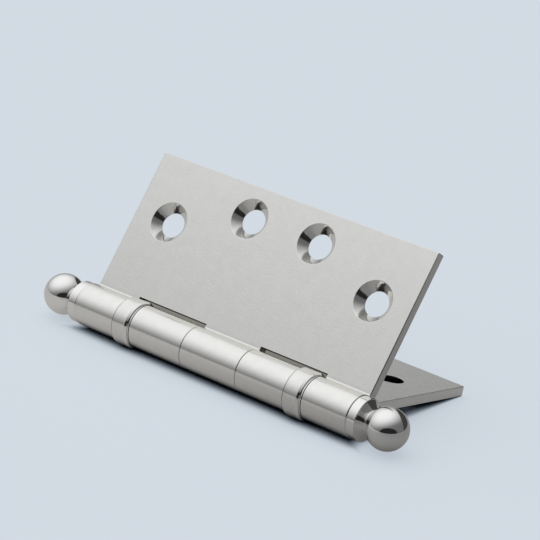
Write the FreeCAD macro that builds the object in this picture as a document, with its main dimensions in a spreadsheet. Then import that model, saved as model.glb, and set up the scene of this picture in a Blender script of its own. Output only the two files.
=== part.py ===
import FreeCAD, Part
import os
from math import atan2, sqrt
import Sketcher
from FreeCAD import Rotation, Vector

# Ball bearing butt hinge, in millimetres and degrees.
# +X runs along the pin, +Y goes back and +Z is up. The hinge stands opened past flat:
# the lower leaf and the two bearing shells touch the ground, and the upper leaf leans back.

SIZES = {
    "leafLength": 114.3,
    "leafWidth": 57.15,
    "leafThickness": 3.4,
    "leafOffset": 0.4,
    "frontCoveRadius": 0.5,
    "backCoveRadius": 2.0,
    "edgeBreak": 0.25,
    "knuckleEdge": 0.1,
    "backToBackAngle": 64.7,
    "endKnuckleLength": 17.6,
    "middleKnuckleLength": 23.2,
    "middleKnuckleShift": 0.9,
    "knuckleGap": 0.15,
    "bearingSpace": 6.85,
    "notchClearance": 0.75,
    "outerHoleFromEnd": 14.35,
    "outerHoleFromEdge": 21.75,
    "innerHoleFromMiddle": 13.9,
    "innerHoleFromEdge": 11.1,
    "screwHoleRadius": 4.3,
    "countersinkRadius": 6.95,
    "countersinkAngle": 82,
    "pinRadius": 3.84,
    "pinClearance": 0.04,
    "pinEndRecess": 0.4,
    "pinEndChamfer": 0.5,
    "tappedHoleDepth": 11,
    "drillPointDepth": 1.4,
    "studRadius": 2.4,
    "studClearance": 0.05,
    "studLength": 9,
    "studChamfer": 0.4,
    "collarLength": 3.2,
    "collarInset": 0.2,
    "collarEdge": 0.25,
    "dishDepth": 1.05,
    "dishRadius": 6,
    "neckRootRadius": 3.6,
    "neckRadius": 3.85,
    "neckBeadRadius": 0.6,
    "tipBallRadius": 7,
    "tipBallCentre": 10.95,
    "shellRadius": 8.05,
    "shellWall": 0.6,
    "shellFloor": 0.6,
    "shellEdge": 0.2,
    "shellBoreClearance": 0.12,
    "raceStandProud": 0.7,
    "raceWallClearance": 0.15,
    "racePressGap": 0.01,
    "raceBoreClearance": 0.16,
    "raceThickness": 1.95,
    "raceEdge": 0.1,
    "ballRadius": 1,
    "ballCount": 8,
    "grooveClearance": 0.04,
    "grooveDepth": 0.4,
    "cageThickness": 0.8,
    "cageClearance": 0.18,
    "pocketClearance": 0.08,
}

doc = FreeCAD.newDocument("ball_bearing_butt_hinge")
sheet = doc.addObject("Spreadsheet::Sheet", "Sizes")
for row, (name, value) in enumerate(SIZES.items(), start=1):
    sheet.set(f"A{row}", name)
    sheet.set(f"B{row}", str(value))
    sheet.setAlias(f"B{row}", name)
doc.recompute()

# Lengths that follow from the sizes, written with the sheet's names.
BORE = "(Sizes.pinRadius + Sizes.pinClearance)"
BARREL = "(Sizes.pinRadius + Sizes.pinClearance + Sizes.leafThickness)"
LEAF_BACK = "(Sizes.leafOffset + Sizes.leafThickness)"
NOTCH_EDGE = f"(max(Sizes.shellRadius; {BARREL}) + Sizes.notchClearance)"
LEAF_END = "(Sizes.leafLength / 2)"
END_KNUCKLE = "(Sizes.leafLength / 2 - Sizes.endKnuckleLength)"
BEARING_END = "(Sizes.leafLength / 2 - Sizes.endKnuckleLength - Sizes.bearingSpace)"
MIDDLE_LEFT = "(Sizes.middleKnuckleShift - Sizes.middleKnuckleLength / 2)"
MIDDLE_RIGHT = "(Sizes.middleKnuckleShift + Sizes.middleKnuckleLength / 2)"
SHELL_LENGTH = "(Sizes.bearingSpace - Sizes.raceStandProud)"
SHELL_INSIDE = "(Sizes.shellRadius - Sizes.shellWall)"
RACE_BORE = "(Sizes.pinRadius + Sizes.raceBoreClearance)"
RACE_OUTSIDE = f"({SHELL_INSIDE} - Sizes.raceWallClearance)"
PITCH_RADIUS = f"(({RACE_BORE} + {RACE_OUTSIDE}) / 2)"
GROOVE_RADIUS = "(Sizes.ballRadius + Sizes.grooveClearance)"
GROOVE_HALF = f"sqrt({GROOVE_RADIUS}^2 - ({GROOVE_RADIUS} - Sizes.grooveDepth)^2)"
FIXED_FACE = "(Sizes.shellFloor + Sizes.raceThickness)"
BALL_PLANE = f"({FIXED_FACE} + {GROOVE_RADIUS} - Sizes.grooveDepth)"
MOVING_FACE = f"({BALL_PLANE} + {GROOVE_RADIUS} - Sizes.grooveDepth)"

# The lower leaf's far edge and the shells share the ground, which sets how far that leaf droops.
EDGE_REACH = "(Sizes.leafWidth - Sizes.edgeBreak)"
DROOP = (f"(asin(Sizes.shellRadius / sqrt({EDGE_REACH}^2 + Sizes.leafOffset^2))"
         f" + atan(Sizes.leafOffset / {EDGE_REACH}))")
BACK_REACH = f"(Sizes.leafWidth * cos({DROOP}) + ({LEAF_BACK} - Sizes.edgeBreak) * sin({DROOP}))"
AXIS_BACK = f"((Sizes.shellRadius - {BACK_REACH}) / 2)"
AXIS_HEIGHT = "Sizes.shellRadius"


def value(expression):
    """The number that an expression gives, in millimetres or degrees."""
    result = sheet.evalExpression(expression)
    return float(getattr(result, "Value", result))


def new_body(name):
    body = doc.addObject("PartDesign::Body", name)
    body.Label = name
    return body


def new_sketch(body, name, role):
    """A sketch on one of the body's own origin planes."""
    sketch = body.newObject("Sketcher::SketchObject", name)
    plane = [item for item in body.Origin.OriginFeatures if item.Role == role][0]
    sketch.AttachmentSupport = [(plane, "")]
    sketch.MapMode = "FlatFace"
    return sketch


def pin_point(sketch, geometry, end, x, y):
    """Fix one end of a sketch edge by two expressions."""
    if value(x) == 0:
        sketch.addConstraint(Sketcher.Constraint("PointOnObject", geometry, end, -2))
    else:
        index = sketch.addConstraint(Sketcher.Constraint("DistanceX", -1, 1, geometry, end, value(x)))
        sketch.setExpression(f"Constraints[{index}]", x)
    if value(y) == 0:
        sketch.addConstraint(Sketcher.Constraint("PointOnObject", geometry, end, -1))
    else:
        index = sketch.addConstraint(Sketcher.Constraint("DistanceY", -1, 1, geometry, end, value(y)))
        sketch.setExpression(f"Constraints[{index}]", y)


def arc_edge(first, second, radius, bulge, long_way):
    """An arc from first to second. bulge is +1 when it turns left on the way, -1 when right."""
    chord = second - first
    half = chord.Length / 2
    offset = sqrt(max(radius * radius - half * half, 0)) * (-1 if long_way else 1)
    left = Vector(-chord.y, chord.x, 0).normalize()
    centre = (first + second) / 2 + left * offset * bulge
    start, end = (first, second) if bulge > 0 else (second, first)
    start_angle = atan2(start.y - centre.y, start.x - centre.x)
    end_angle = atan2(end.y - centre.y, end.x - centre.x)
    return Part.ArcOfCircle(Part.Circle(centre, Vector(0, 0, 1), radius), start_angle, end_angle)


def draw_outline(sketch, corners):
    """A closed outline. Each corner is (x, y), or (x, y, radius, bulge, long_way) if an arc leaves it."""
    points = [Vector(value(corner[0]), value(corner[1]), 0) for corner in corners]
    ends = []
    for number, corner in enumerate(corners):
        first, second = points[number], points[(number + 1) % len(points)]
        if len(corner) == 2:
            geometry = sketch.addGeometry(Part.LineSegment(first, second), False)
            ends.append((geometry, 1, 2))
        else:
            radius, bulge, long_way = corner[2:]
            arc = arc_edge(first, second, value(radius), bulge, long_way)
            geometry = sketch.addGeometry(arc, False)
            ends.append((geometry, 1, 2) if bulge > 0 else (geometry, 2, 1))
    for number, (geometry, start, end) in enumerate(ends):
        following = ends[(number + 1) % len(ends)]
        sketch.addConstraint(Sketcher.Constraint("Coincident", geometry, end, following[0], following[1]))
    for corner, (geometry, start, end) in zip(corners, ends):
        pin_point(sketch, geometry, start, corner[0], corner[1])
        if len(corner) > 2:
            index = sketch.addConstraint(Sketcher.Constraint("Radius", geometry, value(corner[2])))
            sketch.setExpression(f"Constraints[{index}]", corner[2])


def draw_circle(sketch, x, y, radius):
    circle = Part.Circle(Vector(value(x), value(y), 0), Vector(0, 0, 1), value(radius))
    geometry = sketch.addGeometry(circle, False)
    pin_point(sketch, geometry, 3, x, y)
    index = sketch.addConstraint(Sketcher.Constraint("Radius", geometry, value(radius)))
    sketch.setExpression(f"Constraints[{index}]", radius)


def turned_body(name, corners):
    """A body turned about its own X axis from an outline of (along, radius) corners."""
    body = new_body(name)
    sketch = new_sketch(body, name + "_profile", "XY_Plane")
    draw_outline(sketch, corners)
    turning = body.newObject("PartDesign::Revolution", name + "_turning")
    turning.Profile = sketch
    turning.ReferenceAxis = (sketch, ["H_Axis"])
    turning.Angle = 360
    body.Tip = turning
    return body


def put_on_axis(item, along):
    """Place a piece on the pin's axis, with its own X = 0 at the given distance along it."""
    item.setExpression("Placement.Base.x", along)
    item.setExpression("Placement.Base.y", AXIS_BACK)
    item.setExpression("Placement.Base.z", AXIS_HEIGHT)


def leaf_section(sketch):
    """Extruded section: a leaf in line with its barrel, with a cove on each face and the pin's bore."""
    front_run = f"({BARREL} + Sizes.frontCoveRadius)"
    front_rise = "(Sizes.frontCoveRadius - Sizes.leafOffset)"
    front_cove = f"sqrt({front_run}^2 - {front_rise}^2)"
    back_run = f"({BARREL} + Sizes.backCoveRadius)"
    back_rise = f"(Sizes.backCoveRadius + {LEAF_BACK})"
    back_cove = f"sqrt({back_run}^2 - {back_rise}^2)"
    front_share = f"({BARREL} / {front_run})"
    back_share = f"({BARREL} / {back_run})"
    draw_outline(sketch, [
        ("Sizes.leafWidth", "-Sizes.leafOffset"),
        (front_cove, "-Sizes.leafOffset", "Sizes.frontCoveRadius", -1, False),
        (f"{front_cove} * {front_share}", f"{front_rise} * {front_share}", BARREL, 1, True),
        (f"{back_cove} * {back_share}", f"-{back_rise} * {back_share}", "Sizes.backCoveRadius", -1, False),
        (back_cove, f"-{LEAF_BACK}"),
        ("Sizes.leafWidth", f"-{LEAF_BACK}"),
    ])
    draw_circle(sketch, "0", "0", BORE)


def notch_outline(sketch, left, right):
    """A rectangle that takes the barrel away between two places along the pin."""
    below = f"-({BARREL} + 1)"
    draw_outline(sketch, [(left, below), (right, below), (right, NOTCH_EDGE), (left, NOTCH_EDGE)])


def at_leaf_end(edge):
    """True for an edge that lies flat in one of the leaf's two ends."""
    middle = edge.valueAt((edge.FirstParameter + edge.LastParameter) / 2)
    return edge.BoundBox.XLength < 1e-6 and abs(abs(middle.x) - value(LEAF_END)) < 1e-6


def is_knuckle_rim(edge):
    """True for the round edges where two knuckles face each other."""
    if not hasattr(edge.Curve, "Radius") or at_leaf_end(edge):
        return False
    return edge.BoundBox.XLength < 1e-6 and abs(edge.Curve.Radius - value(BARREL)) < 1e-6


def is_leaf_outline(edge):
    """True for the straight edges along the leaf's far edge and its two ends."""
    if hasattr(edge.Curve, "Radius"):
        return False
    middle = edge.valueAt((edge.FirstParameter + edge.LastParameter) / 2)
    return at_leaf_end(edge) or abs(middle.y - value("Sizes.leafWidth")) < 1e-6


def ease_edges(body, base, name, picked, size):
    """A chamfer on the edges that a test picks out of the base."""
    numbered = enumerate(base.Shape.Edges, start=1)
    edges = [f"Edge{number}" for number, edge in numbered if picked(edge)]
    easing = body.newObject("PartDesign::Chamfer", name)
    easing.Base = (base, edges)
    easing.setExpression("Size", size)
    doc.recompute()
    return easing


def make_leaf(name, notches):
    """One leaf. Its own X is the pin, Y its width and Z the side that the countersinks open to."""
    body = new_body(name)
    section = new_sketch(body, name + "_section", "YZ_Plane")
    leaf_section(section)
    extrusion = body.newObject("PartDesign::Pad", name + "_extrusion")
    extrusion.Profile = section
    extrusion.SideType = "Symmetric"
    extrusion.setExpression("Length", "Sizes.leafLength")
    doc.recompute()
    notch_plan = new_sketch(body, name + "_notch_plan", "XY_Plane")
    for left, right in notches:
        notch_outline(notch_plan, left, right)
    notch_cut = body.newObject("PartDesign::Pocket", name + "_notches")
    notch_cut.Profile = notch_plan
    notch_cut.SideType = "Symmetric"
    notch_cut.Type = "ThroughAll"
    doc.recompute()
    hole_plan = new_sketch(body, name + "_hole_plan", "XY_Plane")
    hole_plan.setExpression("AttachmentOffset.Base.z", "-Sizes.leafOffset")
    for side in ("-", ""):
        draw_circle(hole_plan, f"{side}({LEAF_END} - Sizes.outerHoleFromEnd)",
                    "Sizes.leafWidth - Sizes.outerHoleFromEdge", "Sizes.screwHoleRadius")
        draw_circle(hole_plan, f"{side}Sizes.innerHoleFromMiddle",
                    "Sizes.leafWidth - Sizes.innerHoleFromEdge", "Sizes.screwHoleRadius")
    doc.recompute()
    holes = body.newObject("PartDesign::Hole", name + "_screw_holes")
    holes.Profile = hole_plan
    holes.DepthType = "ThroughAll"
    holes.Threaded = False
    holes.HoleCutType = "Countersink"
    holes.setExpression("Diameter", "2 * Sizes.screwHoleRadius")
    holes.setExpression("HoleCutDiameter", "2 * Sizes.countersinkRadius")
    holes.setExpression("HoleCutCountersinkAngle", "Sizes.countersinkAngle")
    doc.recompute()
    eased = ease_edges(body, holes, name + "_eased_knuckles", is_knuckle_rim, "Sizes.knuckleEdge")
    body.Tip = ease_edges(body, eased, name + "_eased_outline", is_leaf_outline, "Sizes.edgeBreak")
    return body


# The upper leaf has the two end knuckles and the middle one.
upper_leaf = make_leaf("three_knuckle_leaf", [
    (f"-{END_KNUCKLE}", MIDDLE_LEFT),
    (MIDDLE_RIGHT, END_KNUCKLE),
])
upper_leaf.Placement = FreeCAD.Placement(Vector(0, 0, 0), Rotation(Vector(1, 0, 0), 1))
upper_leaf.setExpression("Placement.Rotation.Angle", f"Sizes.backToBackAngle * 1deg - {DROOP}")
put_on_axis(upper_leaf, "0")

# The lower leaf has the two knuckles between them. It is turned half round, so its own X
# runs the other way.
lower_leaf = make_leaf("two_knuckle_leaf", [
    (f"-({LEAF_END} + 1)", f"-{BEARING_END}"),
    (f"-({MIDDLE_RIGHT} + Sizes.knuckleGap)", f"-({MIDDLE_LEFT} - Sizes.knuckleGap)"),
    (BEARING_END, f"{LEAF_END} + 1"),
])
lower_leaf.Placement = FreeCAD.Placement(Vector(0, 0, 0), Rotation(Vector(0, 1, 0), 180))
lower_leaf.setExpression("Placement.Rotation.Axis.y", f"cos({DROOP} / 2)")
lower_leaf.setExpression("Placement.Rotation.Axis.z", f"-sin({DROOP} / 2)")
put_on_axis(lower_leaf, "0")

# The pin, with a tapped hole in each end for the tip's stud.
PIN_HALF = f"({LEAF_END} - Sizes.pinEndRecess)"
TAPPED_RADIUS = "(Sizes.studRadius + Sizes.studClearance)"
TAPPED_END = f"({LEAF_END} - Sizes.tappedHoleDepth)"
pin = turned_body("hinge_pin", [
    (f"-{PIN_HALF}", TAPPED_RADIUS),
    (f"-{PIN_HALF}", "Sizes.pinRadius - Sizes.pinEndChamfer"),
    (f"-{PIN_HALF} + Sizes.pinEndChamfer", "Sizes.pinRadius"),
    (f"{PIN_HALF} - Sizes.pinEndChamfer", "Sizes.pinRadius"),
    (PIN_HALF, "Sizes.pinRadius - Sizes.pinEndChamfer"),
    (PIN_HALF, TAPPED_RADIUS),
    (TAPPED_END, TAPPED_RADIUS),
    (f"{TAPPED_END} - Sizes.drillPointDepth", "0"),
    (f"-({TAPPED_END} - Sizes.drillPointDepth)", "0"),
    (f"-{TAPPED_END}", TAPPED_RADIUS),
])
put_on_axis(pin, "0")


def make_tip(name):
    """A turned ball tip. Its own X = 0 is the face that seats on the barrel's end."""
    collar = f"({BARREL} - Sizes.collarInset)"
    dish_end = "(Sizes.collarLength + Sizes.dishDepth)"
    return turned_body(name, [
        ("-Sizes.studLength", "0"),
        ("-Sizes.studLength", "Sizes.studRadius - Sizes.studChamfer"),
        ("-Sizes.studLength + Sizes.studChamfer", "Sizes.studRadius"),
        ("0", "Sizes.studRadius"),
        ("0", f"{collar} - Sizes.collarEdge"),
        ("Sizes.collarEdge", collar),
        ("Sizes.collarLength - Sizes.collarEdge", collar),
        ("Sizes.collarLength", f"{collar} - Sizes.collarEdge", "Sizes.dishRadius", 1, False),
        (dish_end, "Sizes.neckRootRadius", "Sizes.neckBeadRadius", -1, False),
        ("Sizes.tipBallCentre - sqrt(Sizes.tipBallRadius^2 - Sizes.neckRadius^2)", "Sizes.neckRadius",
         "Sizes.tipBallRadius", -1, False),
        ("Sizes.tipBallCentre + Sizes.tipBallRadius", "0"),
    ])


right_tip = make_tip("right_ball_tip")
put_on_axis(right_tip, LEAF_END)
left_tip = make_tip("left_ball_tip")
left_tip.Placement = FreeCAD.Placement(Vector(0, 0, 0), Rotation(Vector(0, 0, 1), 180))
put_on_axis(left_tip, f"-{LEAF_END}")


def groove_corners(face, depth_sign):
    """The race's face with its ball groove, from the outer edge of the groove to the inner one."""
    outer = f"{PITCH_RADIUS} + {GROOVE_HALF}"
    inner = f"{PITCH_RADIUS} - {GROOVE_HALF}"
    if depth_sign < 0:
        return [(face, outer, GROOVE_RADIUS, 1, False), (face, inner)]
    return [(face, inner, GROOVE_RADIUS, 1, False), (face, outer)]


def make_shell(name):
    """The bearing's cup. Its floor is at X = 0 and its mouth faces +X."""
    bore = "(Sizes.pinRadius + Sizes.shellBoreClearance)"
    return turned_body(name, [
        ("0", bore),
        ("0", "Sizes.shellRadius - Sizes.shellEdge"),
        ("Sizes.shellEdge", "Sizes.shellRadius"),
        (f"{SHELL_LENGTH} - Sizes.shellEdge", "Sizes.shellRadius"),
        (SHELL_LENGTH, "Sizes.shellRadius - Sizes.shellEdge"),
        (SHELL_LENGTH, SHELL_INSIDE),
        ("Sizes.shellFloor", SHELL_INSIDE),
        ("Sizes.shellFloor", bore),
    ])


def make_fixed_race(name):
    """The hardened ring pressed against the cup's floor."""
    outside = f"({SHELL_INSIDE} - Sizes.racePressGap)"
    return turned_body(name, [
        ("Sizes.shellFloor", RACE_BORE),
        ("Sizes.shellFloor", outside),
        (FIXED_FACE, outside),
        *groove_corners(FIXED_FACE, -1),
        (FIXED_FACE, RACE_BORE),
    ])


def make_moving_race(name):
    """The hardened ring that stands proud of the cup and turns with the next knuckle."""
    return turned_body(name, [
        (MOVING_FACE, RACE_BORE),
        *groove_corners(MOVING_FACE, 1),
        (MOVING_FACE, RACE_OUTSIDE),
        ("Sizes.bearingSpace - Sizes.raceEdge", RACE_OUTSIDE),
        ("Sizes.bearingSpace", f"{RACE_OUTSIDE} - Sizes.raceEdge"),
        ("Sizes.bearingSpace", RACE_BORE),
    ])


def make_cage(name):
    """The flat ring that keeps the balls apart, with one round pocket for each."""
    body = new_body(name)
    ring = new_sketch(body, name + "_ring", "YZ_Plane")
    draw_circle(ring, "0", "0", f"{SHELL_INSIDE} - Sizes.cageClearance")
    draw_circle(ring, "0", "0", "Sizes.pinRadius + 2 * Sizes.cageClearance")
    plate = body.newObject("PartDesign::Pad", name + "_plate")
    plate.Profile = ring
    plate.SideType = "Symmetric"
    plate.setExpression("Length", "Sizes.cageThickness")
    doc.recompute()
    seat = new_sketch(body, name + "_pocket_plan", "YZ_Plane")
    draw_circle(seat, PITCH_RADIUS, "0", "Sizes.ballRadius + Sizes.pocketClearance")
    pocket = body.newObject("PartDesign::Pocket", name + "_pocket")
    pocket.Profile = seat
    pocket.SideType = "Symmetric"
    pocket.Type = "ThroughAll"
    doc.recompute()
    pattern = body.newObject("PartDesign::PolarPattern", name + "_pockets")
    pattern.Originals = [pocket]
    pattern.Axis = (seat, ["N_Axis"])
    pattern.Angle = 360
    pattern.setExpression("Occurrences", "Sizes.ballCount")
    body.Tip = pattern
    return body


def make_ball(name, along, number):
    """One bearing ball on its pitch circle."""
    ball = doc.addObject("Part::Sphere", name)
    ball.Label = name
    ball.setExpression("Radius", "Sizes.ballRadius")
    turn = f"(360deg / Sizes.ballCount * {number})"
    ball.setExpression("Placement.Base.x", f"{along} + {BALL_PLANE}")
    ball.setExpression("Placement.Base.y", f"{AXIS_BACK} + {PITCH_RADIUS} * cos({turn})")
    ball.setExpression("Placement.Base.z", f"{AXIS_HEIGHT} + {PITCH_RADIUS} * sin({turn})")
    return ball


def make_bearing(side, along):
    """One thrust bearing, its cup's floor against the knuckle at the given place along the pin."""
    shell = make_shell(f"{side}_bearing_shell")
    put_on_axis(shell, along)
    fixed_race = make_fixed_race(f"{side}_fixed_race")
    put_on_axis(fixed_race, along)
    moving_race = make_moving_race(f"{side}_moving_race")
    put_on_axis(moving_race, along)
    cage = make_cage(f"{side}_ball_cage")
    put_on_axis(cage, f"{along} + {BALL_PLANE}")
    pieces = [shell, fixed_race, moving_race, cage]
    for number in range(int(value("Sizes.ballCount"))):
        pieces.append(make_ball(f"{side}_ball_{number + 1}", along, number))
    return pieces


subparts = [upper_leaf, lower_leaf, pin, left_tip, right_tip]
subparts += make_bearing("left", f"-{END_KNUCKLE}")
subparts += make_bearing("right", BEARING_END)

doc.recompute()
for item in doc.Objects:
    if "Invalid" in item.State or "Error" in item.State:
        raise RuntimeError(f"{item.Label} did not compute: {item.State}")
for item in subparts:
    if item.Shape.isNull() or not item.Shape.isValid():
        raise RuntimeError(f"{item.Label} has no valid shape")

os.makedirs("parts", exist_ok=True)
for item in subparts:
    item.Shape.exportStep(f"parts/{item.Label}.step")
    box = item.Shape.BoundBox
    print(f"{item.Label}: volume {item.Shape.Volume:.1f}, x {box.XMin:.2f} to {box.XMax:.2f}, "
          f"y {box.YMin:.2f} to {box.YMax:.2f}, z {box.ZMin:.3f} to {box.ZMax:.2f}")
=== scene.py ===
import math

import bmesh
import bpy
from mathutils import Matrix, Vector


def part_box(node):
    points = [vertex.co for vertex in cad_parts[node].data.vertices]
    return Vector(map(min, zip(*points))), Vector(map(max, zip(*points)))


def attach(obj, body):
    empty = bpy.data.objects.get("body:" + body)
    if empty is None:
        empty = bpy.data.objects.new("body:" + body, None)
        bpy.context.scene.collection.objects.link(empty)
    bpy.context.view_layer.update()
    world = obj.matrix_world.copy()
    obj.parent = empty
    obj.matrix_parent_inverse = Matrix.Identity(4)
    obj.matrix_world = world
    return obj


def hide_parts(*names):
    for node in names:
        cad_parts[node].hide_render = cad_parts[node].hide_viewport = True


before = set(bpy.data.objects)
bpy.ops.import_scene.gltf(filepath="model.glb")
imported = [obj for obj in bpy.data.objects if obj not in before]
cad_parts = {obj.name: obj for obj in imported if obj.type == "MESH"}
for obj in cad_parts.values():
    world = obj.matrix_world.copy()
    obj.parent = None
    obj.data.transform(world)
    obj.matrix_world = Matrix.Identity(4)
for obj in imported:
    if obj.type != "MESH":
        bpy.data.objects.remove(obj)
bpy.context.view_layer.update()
print("frame loaded:", len(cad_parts), "pieces from the construction")

mm = 0.001
sides = ("left", "right")

# How far the pin's line lies back and up, read from a shell that sits on it.
shellLow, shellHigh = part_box("right_bearing_shell")
pinBack = (shellLow.y + shellHigh.y) / 2
pinUp = (shellLow.z + shellHigh.z) / 2


# shared node helpers

def feed(tree, socket, what):
    # Links another node's output to this input, or sets the input to a plain value.
    if isinstance(what, bpy.types.NodeSocket):
        tree.links.new(what, socket)
    else:
        socket.default_value = what


def put(tree, kind, settings=None, **inputs):
    # One node with its settings and its named inputs, where Cloud_Scale stands for Cloud Scale.
    node = tree.nodes.new(kind)
    for key, what in (settings or {}).items():
        setattr(node, key, what)
    for key, what in inputs.items():
        feed(tree, node.inputs[key.replace("_", " ")], what)
    return node


def reckon(tree, operation, *operands):
    # Math on one or two numbers.
    node = put(tree, "ShaderNodeMath", {"operation": operation})
    for socket, what in zip(node.inputs, operands):
        feed(tree, socket, what)
    return node.outputs["Value"]


def reckonVector(tree, operation, *operands):
    # Vector Math on one or two vectors, which gives a number where it measures something.
    node = put(tree, "ShaderNodeVectorMath", {"operation": operation})
    for socket, what in zip(node.inputs, operands):
        feed(tree, socket, what)
    return node.outputs["Value" if operation in ("LENGTH", "DISTANCE", "DOT_PRODUCT") else "Vector"]


def scaled(tree, vector, by):
    node = put(tree, "ShaderNodeVectorMath", {"operation": "SCALE"}, Vector=vector, Scale=by)
    return node.outputs["Vector"]


def slope(tree, value, fromMin, fromMax, toMin=0.0, toMax=1.0, smooth=False):
    # A value mapped from one range to another and held at both ends.
    shape = {"interpolation_type": "SMOOTHSTEP" if smooth else "LINEAR"}
    node = put(tree, "ShaderNodeMapRange", shape, Value=value, From_Min=fromMin, From_Max=fromMax,
               To_Min=toMin, To_Max=toMax)
    return node.outputs["Result"]


def blendNumbers(tree, factor, first, second):
    node = put(tree, "ShaderNodeMix", {"data_type": "FLOAT"}, Factor=factor, A=first, B=second)
    return node.outputs["Result"]


def blendColours(tree, factor, first, second, mode="MIX"):
    settings = {"data_type": "RGBA", "blend_type": mode}
    return put(tree, "ShaderNodeMix", settings, Factor=factor, A=first, B=second).outputs["Result"]


def ramp(tree, factor, stops, mode="LINEAR"):
    node = tree.nodes.new("ShaderNodeValToRGB")
    node.color_ramp.interpolation = mode
    elements = node.color_ramp.elements
    while len(elements) < len(stops):
        elements.new(0.5)
    for element, (where, colour) in zip(elements, stops):
        element.position = where
        element.color = (*colour, 1)
    feed(tree, node.inputs["Fac"], factor)
    return node.outputs["Color"]


def grey(level):
    return (level, level, level, 1)


def objectPlace(tree):
    return tree.nodes.new("ShaderNodeTexCoord").outputs["Object"]


def newMaterial(name):
    material = bpy.data.materials.new(name)
    material.use_nodes = True
    tree = material.node_tree
    return material, tree, tree.nodes["Principled BSDF"].inputs


# shared node groups

grainValues = {
    "grainDetail": 3.0, "grainRoughness": 0.6,
    "cloudDetail": 3.0, "cloudRoughness": 0.55,
    "low": 0.3, "high": 0.7,        # where most of the noise lies
    "roughnessSpread": 0.15,
    "bumpDepth": 0.02 * mm,
}


def newGroup(name, inputs, outputs):
    group = bpy.data.node_groups.new(name, "ShaderNodeTree")
    for label, kind in inputs.items():
        group.interface.new_socket(label, in_out="INPUT", socket_type=kind)
    for label in outputs:
        group.interface.new_socket(label, in_out="OUTPUT", socket_type="NodeSocketFloat")
    return group, group.nodes.new("NodeGroupInput").outputs, group.nodes.new("NodeGroupOutput").inputs


def buildGrainGroup():
    # Noise drawn out along one way for the grain, and a slower cloud.
    inputs = {"Vector": "NodeSocketVector", "Along X": "NodeSocketFloat", "Across": "NodeSocketFloat",
              "Cloud Scale": "NodeSocketFloat"}
    group, start, end = newGroup("directionalGrain", inputs, ("Grain", "Cloud"))
    stretch = put(group, "ShaderNodeCombineXYZ", X=start["Along X"], Y=start["Across"], Z=start["Across"])
    drawnOut = reckonVector(group, "MULTIPLY", start["Vector"], stretch.outputs["Vector"])
    grain = put(group, "ShaderNodeTexNoise", Vector=drawnOut, Scale=1.0, Detail=grainValues["grainDetail"],
                Roughness=grainValues["grainRoughness"])
    cloud = put(group, "ShaderNodeTexNoise", Vector=start["Vector"], Scale=start["Cloud Scale"],
                Detail=grainValues["cloudDetail"], Roughness=grainValues["cloudRoughness"])
    feed(group, end["Grain"], grain.outputs["Fac"])
    feed(group, end["Cloud"], cloud.outputs["Fac"])
    return group


def buildPinDistanceGroup():
    # How far a point lies from the pin's line, in metres.
    group, start, end = newGroup("pinDistance", {"Vector": "NodeSocketVector"}, ("Distance",))
    fromLine = reckonVector(group, "SUBTRACT", start["Vector"], (0, pinBack, pinUp))
    acrossPin = reckonVector(group, "MULTIPLY", fromLine, (0, 1, 1))
    feed(group, end["Distance"], reckonVector(group, "LENGTH", acrossPin))
    return group


grainGroup = buildGrainGroup()
pinDistanceGroup = buildPinDistanceGroup()


def grainOf(tree, place, look):
    # The grain and the cloud of one finish.
    node = put(tree, "ShaderNodeGroup", {"node_tree": grainGroup}, Vector=place, Across=look["across"],
               Along_X=look["alongX"], Cloud_Scale=look["cloudScale"])
    return node.outputs["Grain"], node.outputs["Cloud"]


def pinDistance(tree, place):
    return put(tree, "ShaderNodeGroup", {"node_tree": pinDistanceGroup}, Vector=place).outputs["Distance"]


# metals, where a higher alongX or across makes finer marks along the pin or across it

finishes = {
    "turnedNickel": {"colour": (0.805, 0.783, 0.745), "shade": 0.93, "roughness": 0.17, "cloudScale": 420.0,
                     "across": 160.0, "alongX": 2400.0, "bump": 0.22},
    "polishedNickel": {"colour": (0.83, 0.808, 0.78), "shade": 0.985, "roughness": 0.035, "cloudScale": 120.0,
                       "across": 300.0, "alongX": 6000.0, "bump": 0.02},
    # the cut edges: one sheared finish in two levels, dark on the upper leaf as painted shade and light on
    # the lower as painted light; the upper also mirrors less at grazing angles
    "upperEdgePaintedShade": {"colour": (0.36, 0.345, 0.325), "shade": 0.86, "roughness": 0.34, "cloudScale": 500.0,
                  "across": 2600.0, "alongX": 2600.0, "bump": 0.3, "edgeTint": 0.12},
    "lowerEdgePaintedLight": {"colour": (0.96, 0.938, 0.905), "shade": 0.95, "roughness": 0.34, "cloudScale": 500.0,
                  "across": 2600.0, "alongX": 2600.0, "bump": 0.3},
    "sunkNickel": {"colour": (0.74, 0.72, 0.69), "shade": 0.94, "roughness": 0.11, "cloudScale": 600.0,
                   "across": 900.0, "alongX": 900.0, "bump": 0.06},
    "pinSteel": {"colour": (0.52, 0.51, 0.5), "shade": 0.95, "roughness": 0.2, "cloudScale": 150.0,
                 "across": 300.0, "alongX": 7000.0, "bump": 0.1},
    "raceSteel": {"colour": (0.84, 0.82, 0.79), "shade": 0.96, "roughness": 0.14, "cloudScale": 200.0,
                  "across": 300.0, "alongX": 9000.0, "bump": 0.05},
    "ballSteel": {"colour": (0.58, 0.57, 0.56), "shade": 0.98, "roughness": 0.05, "cloudScale": 200.0,
                  "across": 900.0, "alongX": 900.0, "bump": 0.02},
    "cageBrass": {"colour": (0.72, 0.52, 0.26), "shade": 0.92, "roughness": 0.28, "cloudScale": 300.0,
                  "across": 3000.0, "alongX": 3000.0, "bump": 0.15},
}


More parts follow.
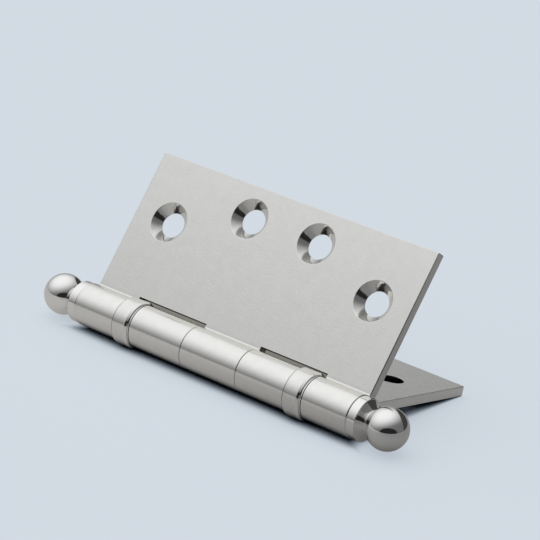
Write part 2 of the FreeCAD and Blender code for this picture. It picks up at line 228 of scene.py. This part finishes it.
def metalLook(tree, shader, grain, cloud, roughness, look):
    # The grain moves the roughness and the bump, and the cloud moves the colour, which is handed back.
    low, high, spread = grainValues["low"], grainValues["high"], grainValues["roughnessSpread"]
    uneven = slope(tree, grain, low, high, 1 - spread, 1 + spread)
    feed(tree, shader["Roughness"], reckon(tree, "MULTIPLY", roughness, uneven))
    bump = put(tree, "ShaderNodeBump", Strength=look["bump"], Distance=grainValues["bumpDepth"], Height=grain)
    feed(tree, shader["Normal"], bump.outputs["Normal"])
    feed(tree, shader["Metallic"], 1.0)
    shaded = [channel * look["shade"] for channel in look["colour"]]
    return ramp(tree, cloud, [(low, shaded), (high, look["colour"])])


def metal(name, look):
    material, tree, shader = newMaterial(name)
    grain, cloud = grainOf(tree, objectPlace(tree), look)
    feed(tree, shader["Base Color"], metalLook(tree, shader, grain, cloud, look["roughness"], look))
    feed(tree, shader["Specular Tint"], grey(look.get("edgeTint", 1.0)))
    return material


metals = {name: metal(name, look) for name, look in finishes.items()}

# Thin dark lines round the barrel where two pieces meet, out to a distance from the pin's line: dark joints
# together with painted shade beside the steps.
jointShadeLines = {
    "shell": {"halfWidth": 0.2 * mm, "tone": 0.4, "within": 8.1 * mm},
    "race": {"halfWidth": 0.3 * mm, "tone": 0.03, "within": 7.6 * mm},
    "knuckle": {"halfWidth": 0.45 * mm, "tone": 0.6, "within": 7.55 * mm},
}
darkestShare = 0.6          # of a line's half width


def paintJointShade(material, joints, line):
    tree = material.node_tree
    base = tree.nodes["Principled BSDF"].inputs["Base Color"]
    colour = base.links[0].from_socket
    place = objectPlace(tree)
    along = put(tree, "ShaderNodeSeparateXYZ", Vector=place).outputs["X"]
    held = reckon(tree, "LESS_THAN", pinDistance(tree, place), line["within"])
    for joint in joints:
        gap = reckon(tree, "ABSOLUTE", reckon(tree, "SUBTRACT", along, joint))
        near = slope(tree, gap, line["halfWidth"], line["halfWidth"] * darkestShare)
        inLine = reckon(tree, "MULTIPLY", near, held)
        colour = blendColours(tree, inLine, colour, grey(line["tone"]), "MULTIPLY")
    feed(tree, base, colour)


shellJoints = [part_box(f"{side}_bearing_shell")[0].x for side in sides]
raceEnds = [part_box(f"{side}_moving_race")[1].x for side in sides]
# painted shade along each shell's joint and each race's end
paintJointShade(metals["turnedNickel"], shellJoints, jointShadeLines["shell"])
paintJointShade(metals["raceSteel"], raceEnds, jointShadeLines["race"])
print("metals made:", len(metals))


# a shaped mesh becomes a piece that takes a construction node's place

def finishPiece(bm, name, node, body, materials, smoothUpTo):
    for face in bm.faces:
        face.smooth = True
    for edge in bm.edges:
        if len(edge.link_faces) == 2:
            edge.smooth = edge.calc_face_angle() < smoothUpTo
    mesh = bpy.data.meshes.new(name)
    bm.to_mesh(mesh)
    bm.free()
    for material in materials:
        mesh.materials.append(material)
    piece = bpy.data.objects.new(name, mesh)
    bpy.context.scene.collection.objects.link(piece)
    modifier = piece.modifiers.new("evenNormals", "WEIGHTED_NORMAL")
    modifier.keep_sharp = True
    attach(piece, body)
    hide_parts(node)
    print(name, "has", len(mesh.polygons), "faces")


# leaves

leafValues = {
    "mergeWithin": 1e-6,
    "coplanarWithin": math.radians(0.3),
    "smoothUpTo": {"upper": math.radians(40), "lower": math.radians(50)},
    "lift": {"upper": math.radians(56.164), "lower": math.radians(-8.536)},
    "holes": [(-42.8 * mm, 35.4 * mm), (-13.9 * mm, 46.05 * mm),
              (13.9 * mm, 46.05 * mm), (42.8 * mm, 35.4 * mm)],
    "holeReach": 7.3 * mm,
    "holeTilt": 0.95,           # a hole's faces look less straight up than this
    "rimBreak": 0.14 * mm,
    "rimSteps": 2,
    "edgeTilt": math.cos(math.radians(3)),
    "endTilt": math.cos(math.radians(50)),
    "barrelRadius": 7.4 * mm,
    "colour": (0.805, 0.783, 0.745),
    "shade": 0.96,
    "alongX": 600.0, "across": 2400.0, "cloudScale": 260.0,
    "bump": 0.05,
    "leafRoughness": 0.29,
    "barrelRoughness": 0.17,
    "barrelEnds": 7.85 * mm,    # distances from the pin's line
    "bandEnds": 8.85 * mm,
    "rimAt": 57 * mm,
    "borderSoftness": 0.1 * mm,
    "bandShade": 0.965,
    # painted light: the plate's colour goes from rootShade by the barrel to rimShade at the rim, lighter on
    # the lower leaf
    "rootShade": {"upper": 0.87, "lower": 1.04},
    "rimShade": {"upper": 0.985, "lower": 1.16},
    # painted shade in the fold behind the barrel
    "foldShadeTint": (0.58, 0.53, 0.475, 1),
    "foldFull": 17 * mm, "foldGone": 23 * mm,
    "foldStops": (36 * mm, 44 * mm),
}


def paintedFoldShade(tree, place, distance, pastBand, colour):
    # Painted shade, darker and browner, on the plate in the fold behind the barrel, short of the right end.
    along = put(tree, "ShaderNodeSeparateXYZ", Vector=place).outputs["X"]
    nearPin = slope(tree, distance, leafValues["foldGone"], leafValues["foldFull"])
    stopFrom, stopTo = leafValues["foldStops"]
    shortOfEnd = slope(tree, along, stopTo, stopFrom)
    inFold = reckon(tree, "MULTIPLY", reckon(tree, "MULTIPLY", nearPin, shortOfEnd), pastBand)
    return blendColours(tree, inFold, colour, leafValues["foldShadeTint"], "MULTIPLY")


def satinNickel(which):
    # Fine satin on the flat leaf, turned marks round the barrel, and a slightly darker band between them. The
    # leaf's colour also carries painted light: darker by the barrel and lighter toward the rim, and the lower
    # leaf painted lighter than the upper.
    material, tree, shader = newMaterial(f"{which}SatinNickelPaintedLight")
    place = objectPlace(tree)
    distance = pinDistance(tree, place)
    soft = leafValues["borderSoftness"]
    onLeaf, pastBand = [slope(tree, distance, leafValues[border] - soft, leafValues[border] + soft)
                        for border in ("barrelEnds", "bandEnds")]
    turnedGrain, turnedCloud = grainOf(tree, place, finishes["turnedNickel"])
    leafGrain, leafCloud = grainOf(tree, place, leafValues)
    grain = blendNumbers(tree, onLeaf, turnedGrain, leafGrain)
    cloud = blendNumbers(tree, onLeaf, turnedCloud, leafCloud)
    roughness = blendNumbers(tree, onLeaf, leafValues["barrelRoughness"], leafValues["leafRoughness"])
    colour = metalLook(tree, shader, grain, cloud, roughness, leafValues)
    inBand = reckon(tree, "SUBTRACT", onLeaf, pastBand)
    colour = blendColours(tree, inBand, colour, grey(leafValues["bandShade"]), "MULTIPLY")
    # Painted light: the plate gets lighter from the barrel out to its rim.
    paintedLightRise = slope(tree, distance, leafValues["bandEnds"], leafValues["rimAt"],
                 leafValues["rootShade"][which], leafValues["rimShade"][which])
    colour = scaled(tree, colour, blendNumbers(tree, onLeaf, 1.0, paintedLightRise))
    # The lower leaf gets painted shade in the fold between the leaves.
    if which == "lower":
        colour = paintedFoldShade(tree, place, distance, pastBand, colour)
    feed(tree, shader["Base Color"], colour)
    # Painted shade on the knuckle just left of each shell's step.
    line = jointShadeLines["knuckle"]
    paintJointShade(material, [joint - line["halfWidth"] for joint in shellJoints], line)
    return material


def mergedLeaf(node):
    # A copy of the construction's leaf, with its loose triangles merged and its flat faces joined up.
    bm = bmesh.new()
    bm.from_mesh(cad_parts[node].data)
    bmesh.ops.remove_doubles(bm, verts=bm.verts, dist=leafValues["mergeWithin"])
    bmesh.ops.dissolve_limit(bm, angle_limit=leafValues["coplanarWithin"], use_dissolve_boundaries=False,
                             verts=bm.verts, edges=bm.edges)
    bm.normal_update()
    return bm


def makeLeaf(which, node, edgeFinish):
    bm = mergedLeaf(node)
    lift = leafValues["lift"][which]
    outward = Vector((0, math.cos(lift), math.sin(lift)))
    upright = Vector((0, -math.sin(lift), math.cos(lift)))
    pin = Vector((0, pinBack, pinUp))

    def inHole(face):
        # True for a hole's wall or its countersink.
        place = face.calc_center_median() - pin
        near = min(math.hypot(place.x - x, place.dot(outward) - y) for x, y in leafValues["holes"])
        return near < leafValues["holeReach"] and abs(face.normal.dot(upright)) < leafValues["holeTilt"]

    rims = [edge for edge in bm.edges
            if len(edge.link_faces) == 2 and sum(inHole(face) for face in edge.link_faces) == 1]
    bmesh.ops.bevel(bm, geom=rims, offset=leafValues["rimBreak"], offset_type="OFFSET", affect="EDGES",
                    segments=leafValues["rimSteps"], profile=0.5, material=-1)
    bm.normal_update()

    # Material 1 is for the cut edges and ends, dark on the upper leaf as painted shade and light on the lower
    # as painted light, and 2 for the holes.
    for face in bm.faces:
        place = face.calc_center_median() - pin
        atEnd = abs(face.normal.x) > leafValues["endTilt"]
        atEdge = abs(face.normal.dot(outward)) > leafValues["edgeTilt"]
        if inHole(face):
            face.material_index = 2
        elif (atEnd or atEdge) and math.hypot(place.y, place.z) > leafValues["barrelRadius"]:
            face.material_index = 1
    materials = [satinNickel(which), metals[edgeFinish], metals["sunkNickel"]]
    finishPiece(bm, f"{which}_leaf_plate", node, f"{which}_leaf", materials,
                leafValues["smoothUpTo"][which])


makeLeaf("upper", "three_knuckle_leaf", "upperEdgePaintedShade")
makeLeaf("lower", "two_knuckle_leaf", "lowerEdgePaintedLight")


# turned pieces: tips and bearing shells, with profiles in millimetres

turnedValues = {
    "mergeWithin": 1e-6,
    "levelWithin": 1e-7,
    "rimSharperThan": math.radians(40),
    "smoothUpTo": math.radians(24),
}


def startProfile(bm, along, out):
    return bm.verts.new(Vector((along, out, 0)) * mm)


def lineTo(bm, vert, along, out):
    made = bmesh.ops.extrude_vert_indiv(bm, verts=[vert])["verts"][0]
    made.co = Vector((along, out, 0)) * mm
    return made


def arcTo(bm, vert, along, out, radius, side, steps):
    # An arc from the last point, turning left (side 1) or right (side -1).
    first, last, radius = vert.co.copy(), Vector((along, out, 0)) * mm, radius * mm
    half = (last - first) / 2
    left = Vector((-half.y, half.x, 0)).normalized()
    centre = (first + last) / 2 + left * side * math.sqrt(radius ** 2 - half.length_squared)
    angle = 2 * math.asin(half.length / radius) * side
    made = bmesh.ops.spin(bm, geom=[vert], cent=centre, axis=(0, 0, 1), angle=angle, steps=steps,
                          use_duplicate=False)
    return next(item for item in made["geom_last"] if isinstance(item, bmesh.types.BMVert))


def turn(bm, steps):
    # The profile turned about its own X axis, with its seams and poles closed.
    bmesh.ops.spin(bm, geom=bm.verts[:] + bm.edges[:], cent=(0, 0, 0), axis=(1, 0, 0), angle=2 * math.pi,
                   steps=steps, use_merge=True, use_duplicate=False)
    bmesh.ops.remove_doubles(bm, verts=bm.verts, dist=turnedValues["mergeWithin"])
    bmesh.ops.recalc_face_normals(bm, faces=bm.faces)


def roundRims(bm, low, high, minRadius, width, steps):
    # The sharp rims between two places along the piece get a small round.
    rims = []
    for edge in bm.edges:
        first, second = [vert.co for vert in edge.verts]
        middle = (first + second) / 2
        level = abs(first.x - second.x) < turnedValues["levelWithin"]
        inside = low * mm <= middle.x <= high * mm and math.hypot(middle.y, middle.z) > minRadius * mm
        sharp = len(edge.link_faces) == 2 and edge.calc_face_angle() > turnedValues["rimSharperThan"]
        if level and inside and sharp:
            rims.append(edge)
    bmesh.ops.bevel(bm, geom=rims, offset=width * mm, offset_type="OFFSET", affect="EDGES", segments=steps,
                    profile=0.5, material=-1)


def finishTurned(bm, name, node, body, place, materials):
    bmesh.ops.transform(bm, matrix=place, verts=bm.verts)
    finishPiece(bm, name, node, body, materials, turnedValues["smoothUpTo"])


tipValues = {
    "studLength": 9, "studRadius": 2.4, "studChamfer": 0.4,
    "collarLength": 3.2, "collarRadius": 7.08, "collarRound": 0.25,
    "rimRound": 0.18, "rimFrom": -0.1, "rimPast": 0.01, "rimInside": 0.05, "rimSteps": 4,
    "dishDepth": 1.75, "dishRadius": 12, "neckRootRadius": 4.2,
    "neckRadius": 4.15, "neckBeadRadius": 0.24, "arcSteps": 10,
    "ballRadius": 6.99, "ballCentre": 10.95, "ballSteps": 40,
    "aroundSteps": 128,
}


def makeTip(side):
    look = tipValues
    stud, collar, arcSteps = look["studLength"], look["collarLength"], look["arcSteps"]
    dishEnd = collar + look["dishDepth"]
    ballStart = look["ballCentre"] - math.sqrt(look["ballRadius"] ** 2 - look["neckRadius"] ** 2)
    ballEnd = look["ballCentre"] + look["ballRadius"]
    bm = bmesh.new()
    point = startProfile(bm, -stud, 0)
    for along, out in [(-stud, look["studRadius"] - look["studChamfer"]),
                       (-stud + look["studChamfer"], look["studRadius"]),
                       (0, look["studRadius"]), (0, look["collarRadius"]), (collar, look["collarRadius"]),
                       (collar, look["collarRadius"] - look["collarRound"])]:
        point = lineTo(bm, point, along, out)
    point = arcTo(bm, point, dishEnd, look["neckRootRadius"], look["dishRadius"], 1, arcSteps)
    point = arcTo(bm, point, ballStart, look["neckRadius"], look["neckBeadRadius"], -1, arcSteps)
    arcTo(bm, point, ballEnd, 0, look["ballRadius"], -1, look["ballSteps"])
    turn(bm, look["aroundSteps"])
    roundRims(bm, look["rimFrom"], collar + look["rimPast"], look["collarRadius"] - look["rimInside"],
              look["rimRound"], look["rimSteps"])
    low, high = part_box(f"{side}_ball_tip")
    if side == "right":
        place = Matrix.Translation((low.x + stud * mm, pinBack, pinUp))
    else:
        place = Matrix.Translation((high.x - stud * mm, pinBack, pinUp)) @ Matrix.Rotation(math.pi, 4, "Z")
    finishTurned(bm, f"{side}_tip", f"{side}_ball_tip", "upper_leaf", place, [metals["polishedNickel"]])


for side in sides:
    makeTip(side)

shellValues = {
    "bore": 3.96, "radius": 8.05, "length": 6.15, "inside": 7.45, "floor": 0.6,
    "rimRound": 0.12, "rimReach": 0.1, "rimInside": 0.05, "rimSteps": 4,
    "coneLength": 0.85, "coneDepth": 0.34, "mouthLength": 0.15, "mouthDepth": 0.55,
    "lip": 7.34, "lipLength": 0.4,
    "polishedTilt": 0.2,        # faces that look more toward the mouth than this are polished
    "aroundSteps": 128,
}


def makeShell(side, body):
    look = shellValues
    length, lip, lipStart = look["length"], look["lip"], look["length"] - look["lipLength"]
    bm = bmesh.new()
    point = startProfile(bm, 0, look["bore"])
    for along, out in [(0, look["radius"]), (length - look["coneLength"], look["radius"]),
                       (length - look["mouthLength"], look["radius"] - look["coneDepth"]),
                       (length, look["radius"] - look["mouthDepth"]), (length, lip), (lipStart, lip),
                       (lipStart, look["inside"]), (look["floor"], look["inside"]),
                       (look["floor"], look["bore"]), (0, look["bore"])]:
        point = lineTo(bm, point, along, out)
    turn(bm, look["aroundSteps"])
    roundRims(bm, -look["rimReach"], look["rimReach"], look["radius"] - look["rimInside"], look["rimRound"],
              look["rimSteps"])
    for face in bm.faces:
        face.material_index = 1 if face.normal.x > look["polishedTilt"] else 0
    place = Matrix.Translation((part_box(f"{side}_bearing_shell")[0].x, pinBack, pinUp))
    finishTurned(bm, f"{side}_shell", f"{side}_bearing_shell", body, place,
                 [metals["turnedNickel"], metals["polishedNickel"]])


makeShell("left", "upper_leaf")
makeShell("right", "lower_leaf")


# pieces inside, which keep the construction's solids

insideFinishes = {"pin": "pinSteel", "race": "raceSteel", "cage": "cageBrass", "ball": "ballSteel"}
for name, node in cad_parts.items():
    for word, finish in insideFinishes.items():
        if word in name and "tip" not in name:
            node.data.materials.clear()
            node.data.materials.append(metals[finish])
            break
print("metals given to the pieces inside")


# floor, with the pale backdrop that the camera and the metal see

floorValues = {
    "half": 6.0,
    "colour": (0.8, 0.81, 0.82),
    "shade": 0.99,
    "cloudScale": 3.0, "cloudDetail": 2.0,
    "roughness": 0.9,
    "shown": (0.738, 0.815, 0.91, 1),
    "shownShare": 0.6,
    "mirrored": (0.36, 0.352, 0.345),
    "mirroredFrom": -60 * mm, "mirroredTo": 100 * mm,
    "mirroredLeft": 1.45, "mirroredRight": 0.25,
    "skySamples": 16,
    "contactReach": 0.06,
    "contactFrom": 0.11, "contactTo": 0.55,
    "tipCentre": 68 * mm,
    "tipClear": 13 * mm, "tipFullyClear": 6.5 * mm,
    "contactTones": [(0.0, (0.0, 0.0, 0.0)), (0.03, (0.023, 0.034, 0.044)), (0.1, (0.092, 0.107, 0.123)),
                     (0.2, (0.2, 0.22, 0.24)), (0.36, (0.355, 0.372, 0.389)), (0.54, (0.533, 0.547, 0.562)),
                     (0.83, (0.83, 0.836, 0.843)), (1.0, (1.0, 1.0, 1.0))],
}


def contactShade(tree, place):
    # Close contact, from how much of the sky a spot of floor sees, except under the tips.
    look = floorValues
    sky = put(tree, "ShaderNodeAmbientOcclusion", {"samples": look["skySamples"]},
              Distance=look["contactReach"])
    contact = slope(tree, sky.outputs["AO"], look["contactFrom"], look["contactTo"], smooth=True)
    eitherSide = reckonVector(tree, "ABSOLUTE", place)
    fromTip = reckonVector(tree, "DISTANCE", eitherSide, (look["tipCentre"], abs(pinBack), 0))
    underTip = slope(tree, fromTip, look["tipClear"], look["tipFullyClear"], smooth=True)
    return ramp(tree, reckon(tree, "MAXIMUM", contact, underTip), look["contactTones"])


def backdropColour(tree, place, rays):
    # The metal mirrors a darker floor than the camera sees, and darker still to the right.
    along = put(tree, "ShaderNodeSeparateXYZ", Vector=place).outputs["X"]
    fall = slope(tree, along, floorValues["mirroredFrom"], floorValues["mirroredTo"],
                 floorValues["mirroredLeft"], floorValues["mirroredRight"])
    mirrored = scaled(tree, floorValues["mirrored"], fall)
    return blendColours(tree, rays["Is Glossy Ray"], floorValues["shown"], mirrored)


def paleFloor():
    material, tree, shader = newMaterial("paleFloor")
    place = objectPlace(tree)
    rays = tree.nodes.new("ShaderNodeLightPath").outputs
    cloud = put(tree, "ShaderNodeTexNoise", Vector=place, Scale=floorValues["cloudScale"],
                Detail=floorValues["cloudDetail"])
    shaded = [channel * floorValues["shade"] for channel in floorValues["colour"]]
    tint = ramp(tree, cloud.outputs["Fac"], [(0, shaded), (1, floorValues["colour"])])
    contact = contactShade(tree, place)
    feed(tree, shader["Base Color"], blendColours(tree, 1.0, tint, contact, "MULTIPLY"))
    feed(tree, shader["Roughness"], floorValues["roughness"])
    feed(tree, shader["Specular IOR Level"], 0.0)
    backdrop = blendColours(tree, 1.0, backdropColour(tree, place, rays), contact, "MULTIPLY")
    glow = put(tree, "ShaderNodeEmission", Color=backdrop)
    seen = reckon(tree, "MAXIMUM", rays["Is Camera Ray"], rays["Is Glossy Ray"])
    seen = reckon(tree, "MAXIMUM", seen, rays["Is Transmission Ray"])
    both = tree.nodes.new("ShaderNodeMixShader")
    feed(tree, both.inputs[0], reckon(tree, "MULTIPLY", seen, floorValues["shownShare"]))
    feed(tree, both.inputs[1], tree.nodes["Principled BSDF"].outputs["BSDF"])
    feed(tree, both.inputs[2], glow.outputs["Emission"])
    feed(tree, tree.nodes["Material Output"].inputs["Surface"], both.outputs["Shader"])
    return material


def makeFloor():
    bm = bmesh.new()
    bmesh.ops.create_grid(bm, x_segments=1, y_segments=1, size=floorValues["half"])
    mesh = bpy.data.meshes.new("floor")
    bm.to_mesh(mesh)
    bm.free()
    mesh.materials.append(paleFloor())
    floor = bpy.data.objects.new("floor", mesh)
    bpy.context.scene.collection.objects.link(floor)


makeFloor()
print("floor laid")


# studio light: one wide soft box, and two dark patches that the metal mirrors

studio = {
    "softboxToward": Vector((-0.423, 0.0, 0.906)).normalized(),
    # how far toward the soft box, and how bright
    "levels": [(-1.0, 0.17), (-0.05, 0.16), (0.15, 0.18), (0.27, 0.21), (0.37, 0.32), (0.47, 0.45),
               (0.57, 0.59), (0.67, 0.74), (0.77, 0.9), (0.88, 1.03), (1.0, 1.11)],
    "brightest": 1.11,
    "tint": (0.965, 1.0, 1.025),
    "patches": [
        {"toward": Vector((0.669, -0.743, 0.0)), "outer": math.radians(48), "inner": math.radians(42),
         "flatten": 1.88, "level": 0.02},
        {"toward": Vector((0.225, 0.973, -0.0523)), "outer": math.radians(44), "inner": math.radians(39),
         "flatten": 1.0, "level": 0.05},
    ],
}


def addPatch(tree, toward, colour, look):
    flatter = reckonVector(tree, "MULTIPLY", toward, (1, 1, look["flatten"]))
    unit = reckonVector(tree, "NORMALIZE", flatter)
    near = reckonVector(tree, "DOT_PRODUCT", unit, look["toward"].normalized())
    edge = slope(tree, near, math.cos(look["outer"]), math.cos(look["inner"]), smooth=True)
    return blendColours(tree, edge, colour, grey(look["level"]))


def makeWorld():
    world = bpy.data.worlds.new("studio")
    world.use_nodes = True
    bpy.context.scene.world = world
    tree = world.node_tree
    toward = tree.nodes.new("ShaderNodeTexCoord").outputs["Generated"]
    facing = reckonVector(tree, "DOT_PRODUCT", toward, studio["softboxToward"])
    stops = [((where + 1) / 2, [level / studio["brightest"] * tint for tint in studio["tint"]])
             for where, level in studio["levels"]]
    colour = ramp(tree, slope(tree, facing, -1.0, 1.0), stops, "B_SPLINE")
    for look in studio["patches"]:
        colour = addPatch(tree, toward, colour, look)
    background = tree.nodes["Background"].inputs
    feed(tree, background["Color"], colour)
    feed(tree, background["Strength"], studio["brightest"])


makeWorld()
print("studio light set")


# camera

cameraValues = {
    "place": Vector((490.304, -647.191, 336.403)) * mm,
    "right": Vector((0.767753, 0.632445, 0.102804)),
    "down": Vector((0.298177, -0.210639, -0.930979)),
    "forward": Vector((-0.567138, 0.745416, -0.350299)),
    "lens": 178.43,
    "sensor": 36.0,
    "clipStart": 0.01, "clipEnd": 50.0,
}


def makeCamera():
    look = cameraValues
    data = bpy.data.cameras.new("camera")
    data.lens = look["lens"]
    data.sensor_width = look["sensor"]
    data.clip_start = look["clipStart"]
    data.clip_end = look["clipEnd"]
    camera = bpy.data.objects.new("camera", data)
    bpy.context.scene.collection.objects.link(camera)
    turned = Matrix((look["right"], -look["down"], -look["forward"])).transposed()
    camera.matrix_world = Matrix.Translation(look["place"]) @ turned.to_4x4()
    bpy.context.scene.camera = camera


makeCamera()
bpy.context.scene.view_settings.view_transform = "Standard"
print("camera placed")
